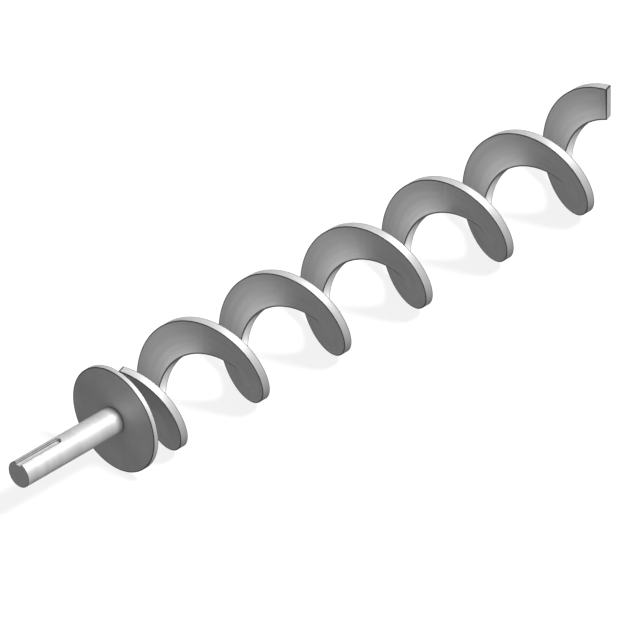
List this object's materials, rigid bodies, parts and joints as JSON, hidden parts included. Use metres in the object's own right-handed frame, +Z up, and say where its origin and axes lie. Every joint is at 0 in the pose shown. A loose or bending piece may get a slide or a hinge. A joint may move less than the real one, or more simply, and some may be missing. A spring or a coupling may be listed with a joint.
{
  "type": "shaftless conveyor screw",
  "caption": "Right-handed ribbon screw with an open core, welded to a round end disc on a keyed drive shaft.",
  "frame": {"origin": "centre of the drive shaft's free end face", "axes": "+X along the screw's axis, from the drive end towards the flight's free end; +Z up, through the keyway; +Y is to the left, looking along +X"},
  "size_m": [1.4555, 0.1998, 0.1999],
  "materials": {
    "turned_steel": "bright turned steel",
    "plate_steel": "satin grey steel plate",
    "formed_steel": "satin grey formed steel bar",
    "weld_steel": "weld metal, ground where it is flush"
  },
  "bodies": {
    "root": {"drive_shaft": "turned_steel", "end_disc": "plate_steel", "spigot_weld": "weld_steel", "start_weld": "weld_steel", "heel_weld": "weld_steel", "flight_turn_1": "formed_steel", "flight_turn_2": "formed_steel", "flight_turn_3": "formed_steel", "flight_turn_4": "formed_steel", "flight_turn_5": "formed_steel", "flight_turn_6": "formed_steel", "seam_weld_1": "weld_steel", "seam_weld_2": "weld_steel", "seam_weld_3": "weld_steel", "seam_weld_4": "weld_steel", "seam_weld_5": "weld_steel"}
  },
  "joints": []
}
